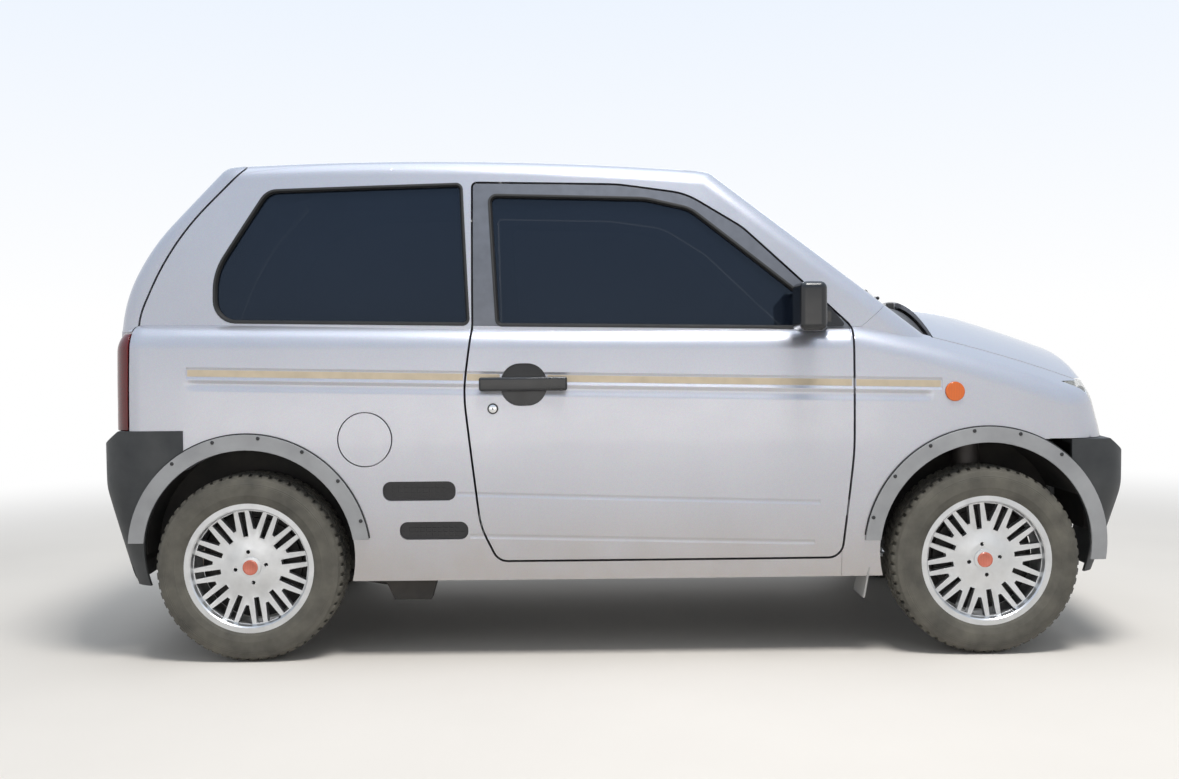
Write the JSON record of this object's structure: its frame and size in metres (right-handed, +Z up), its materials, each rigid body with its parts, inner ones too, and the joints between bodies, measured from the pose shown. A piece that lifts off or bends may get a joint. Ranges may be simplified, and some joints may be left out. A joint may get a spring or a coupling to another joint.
{
  "type": "small city car",
  "caption": "Short two-box city car with opening doors, hood, tailgate and fuel flap, steering front wheels, free-turning wheels and a hollow cabin with seats",
  "frame": {"origin": "on the ground under the middle of the car's length and width", "axes": "+X forward, +Y to the car's left, +Z up"},
  "size_m": [3.3948, 1.776, 1.6493],
  "materials": {
    "paint": "metallic silver",
    "frame_paint": "dark satin",
    "dark_plastic": "black satin",
    "bumper_plastic": "textured dark grey",
    "lamp_red": "clear red",
    "lamp_clear": "clear",
    "lamp_amber": "clear amber",
    "glass": "tinted",
    "rubber": "matt",
    "underbody": "matt black",
    "cast": "rough",
    "alloy": "satin",
    "alloy_silver": "bright silver",
    "pipe_steel": "dull",
    "tank_plastic": "matt black",
    "seat_fabric": "woven grey",
    "tyre": "matt"
  },
  "bodies": {
    "body": {"side_panel_right": "paint", "side_panel_left": "paint", "fuel_cap": "dark_plastic", "roof_panel": "paint", "tail_lamps": "lamp_red", "fenders": "paint", "cowl_panel": "dark_plastic", "headlamps": "lamp_clear", "grille": "dark_plastic", "side_markers": "lamp_amber", "arch_mouldings": "bumper_plastic", "front_bumper": "bumper_plastic", "rear_bumper": "bumper_plastic", "quarter_vents": "dark_plastic", "mud_flaps": "rubber", "fixed_glass": "glass", "wipers": "dark_plastic", "floor_pan": "underbody", "dashboard": "dark_plastic", "front_seats": "seat_fabric", "rear_seat": "seat_fabric", "engine_block": "cast", "front_end": "underbody", "wheel_liners": "underbody", "radiator": "alloy", "front_suspension": "underbody", "rear_suspension": "underbody", "exhaust": "pipe_steel", "fuel_tank": "tank_plastic"},
    "door_right": {"door_right": "paint", "door_frame_right": "frame_paint", "door_glass_right": "glass", "handle_right": "dark_plastic", "mirror_right": "dark_plastic"},
    "door_left": {"door_left": "paint", "door_frame_left": "frame_paint", "door_glass_left": "glass", "handle_left": "dark_plastic", "mirror_left": "dark_plastic"},
    "hood": {"hood": "paint"},
    "tailgate": {"tailgate": "paint", "tailgate_glass": "glass"},
    "fuel_flap": {"fuel_flap": "paint"},
    "steering_wheel": {"steering_wheel": "dark_plastic"},
    "knuckle_right": {"knuckle_right": "cast"},
    "knuckle_left": {"knuckle_left": "cast"},
    "wheel_front_right": {"rim_front_right": "alloy_silver", "tyre_front_right": "tyre"},
    "wheel_front_left": {"rim_front_left": "alloy_silver", "tyre_front_left": "tyre"},
    "wheel_rear_right": {"rim_rear_right": "alloy_silver", "tyre_rear_right": "tyre"},
    "wheel_rear_left": {"rim_rear_left": "alloy_silver", "tyre_rear_left": "tyre"}
  },
  "joints": [
    {"name": "door_right", "type": "hinge", "parent": "body", "child": "door_right", "pos_m": [0.728, -0.727, 0.7], "axis": [0, 0, 1], "range_deg": [0, 65]},
    {"name": "door_left", "type": "hinge", "parent": "body", "child": "door_left", "pos_m": [0.728, 0.727, 0.7], "axis": [0, 0, -1], "range_deg": [0, 65]},
    {"name": "hood", "type": "hinge", "parent": "body", "child": "hood", "pos_m": [1.036, 0, 1.141], "axis": [0, -1, 0], "range_deg": [0, 60]},
    {"name": "tailgate", "type": "hinge", "parent": "body", "child": "tailgate", "pos_m": [-1.21, 0, 1.642], "axis": [0, 1, 0], "range_deg": [0, 80]},
    {"name": "fuel_flap", "type": "hinge", "parent": "body", "child": "fuel_flap", "pos_m": [-0.7055, -0.7305, 0.712], "axis": [0, 0, 1], "range_deg": [0, 90]},
    {"name": "steer_right", "type": "hinge", "parent": "body", "child": "knuckle_right", "pos_m": [1.1875, -0.585, 0.17], "axis": [0, 0.1853, 0.9827], "range_deg": [-32, 32]},
    {"name": "steer_left", "type": "hinge", "parent": "body", "child": "knuckle_left", "pos_m": [1.1875, 0.585, 0.17], "axis": [0, -0.1853, 0.9827], "range_deg": [-32, 32]},
    {"name": "steering_wheel", "type": "hinge", "parent": "body", "child": "steering_wheel", "pos_m": [0.33, -0.34, 0.985], "axis": [-0.9, 0, 0.4359], "range_deg": [-520, 520]},
    {"name": "spin_front_right", "type": "hinge", "parent": "knuckle_right", "child": "wheel_front_right", "pos_m": [1.1875, -0.64, 0.302], "axis": [0, 1, 0], "continuous": true},
    {"name": "spin_front_left", "type": "hinge", "parent": "knuckle_left", "child": "wheel_front_left", "pos_m": [1.1875, 0.64, 0.302], "axis": [0, 1, 0], "continuous": true},
    {"name": "spin_rear_right", "type": "hinge", "parent": "body", "child": "wheel_rear_right", "pos_m": [-1.1725, -0.64, 0.302], "axis": [0, 1, 0], "continuous": true},
    {"name": "spin_rear_left", "type": "hinge", "parent": "body", "child": "wheel_rear_left", "pos_m": [-1.1725, 0.64, 0.302], "axis": [0, 1, 0], "continuous": true}
  ],
  "couplings": [
    {"joint": "steer_left", "follows": "steer_right", "ratio": 1},
    {"joint": "steering_wheel", "follows": "steer_right", "ratio": 16}
  ]
}
